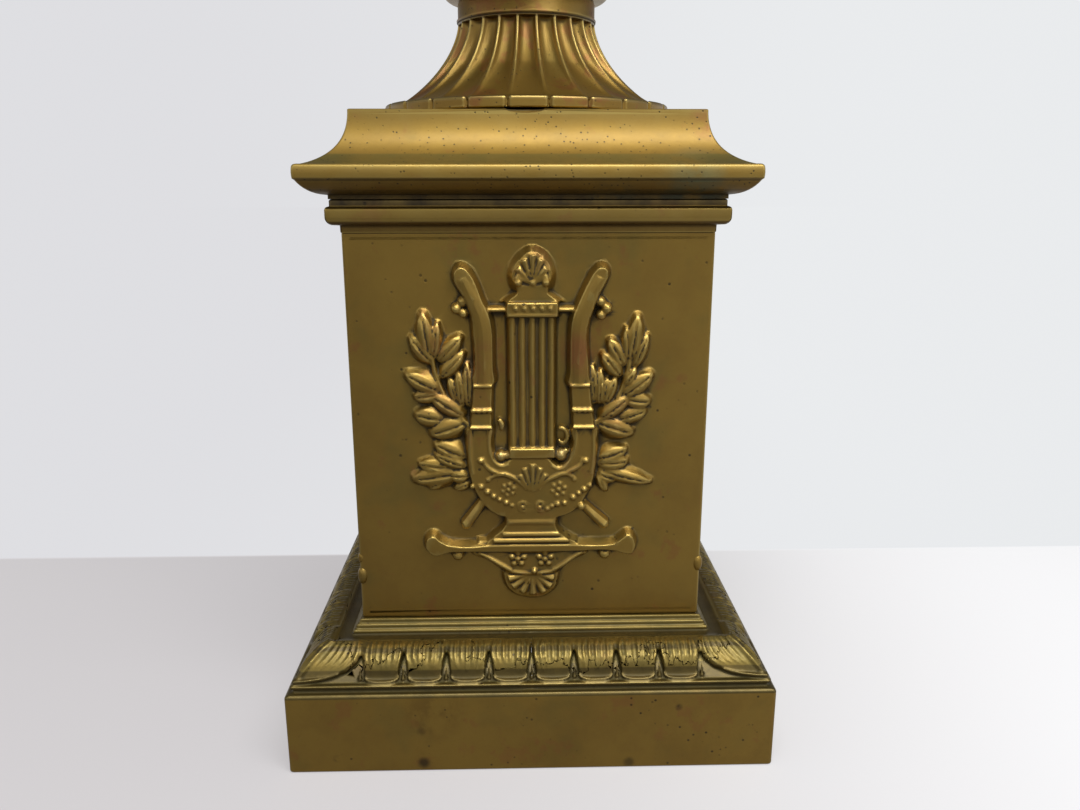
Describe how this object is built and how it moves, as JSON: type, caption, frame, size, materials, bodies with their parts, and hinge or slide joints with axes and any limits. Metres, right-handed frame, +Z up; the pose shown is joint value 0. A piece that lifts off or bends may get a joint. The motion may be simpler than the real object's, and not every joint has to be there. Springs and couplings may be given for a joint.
{
  "type": "mantel urn",
  "caption": "Open bell-shaped brass urn with a gadrooned body on a fluted foot and a square plinth carved with a lyre and laurel.",
  "frame": {"origin": "centre of the plinth's underside, on the surface it stands on", "axes": "+Z up along the urn's axis; -Y towards the viewer of the front; +X to the viewer's right"},
  "size_m": [0.1778, 0.1778, 0.4205],
  "materials": {
    "antique_brass": "satin antique brass, browned in the hollows, brighter on the edges, with a trace of verdigris"
  },
  "bodies": {
    "root": {"plinth_base": "antique_brass", "plinth_die": "antique_brass", "plinth_cap": "antique_brass", "urn_foot": "antique_brass", "urn_bowl": "antique_brass"}
  },
  "joints": []
}
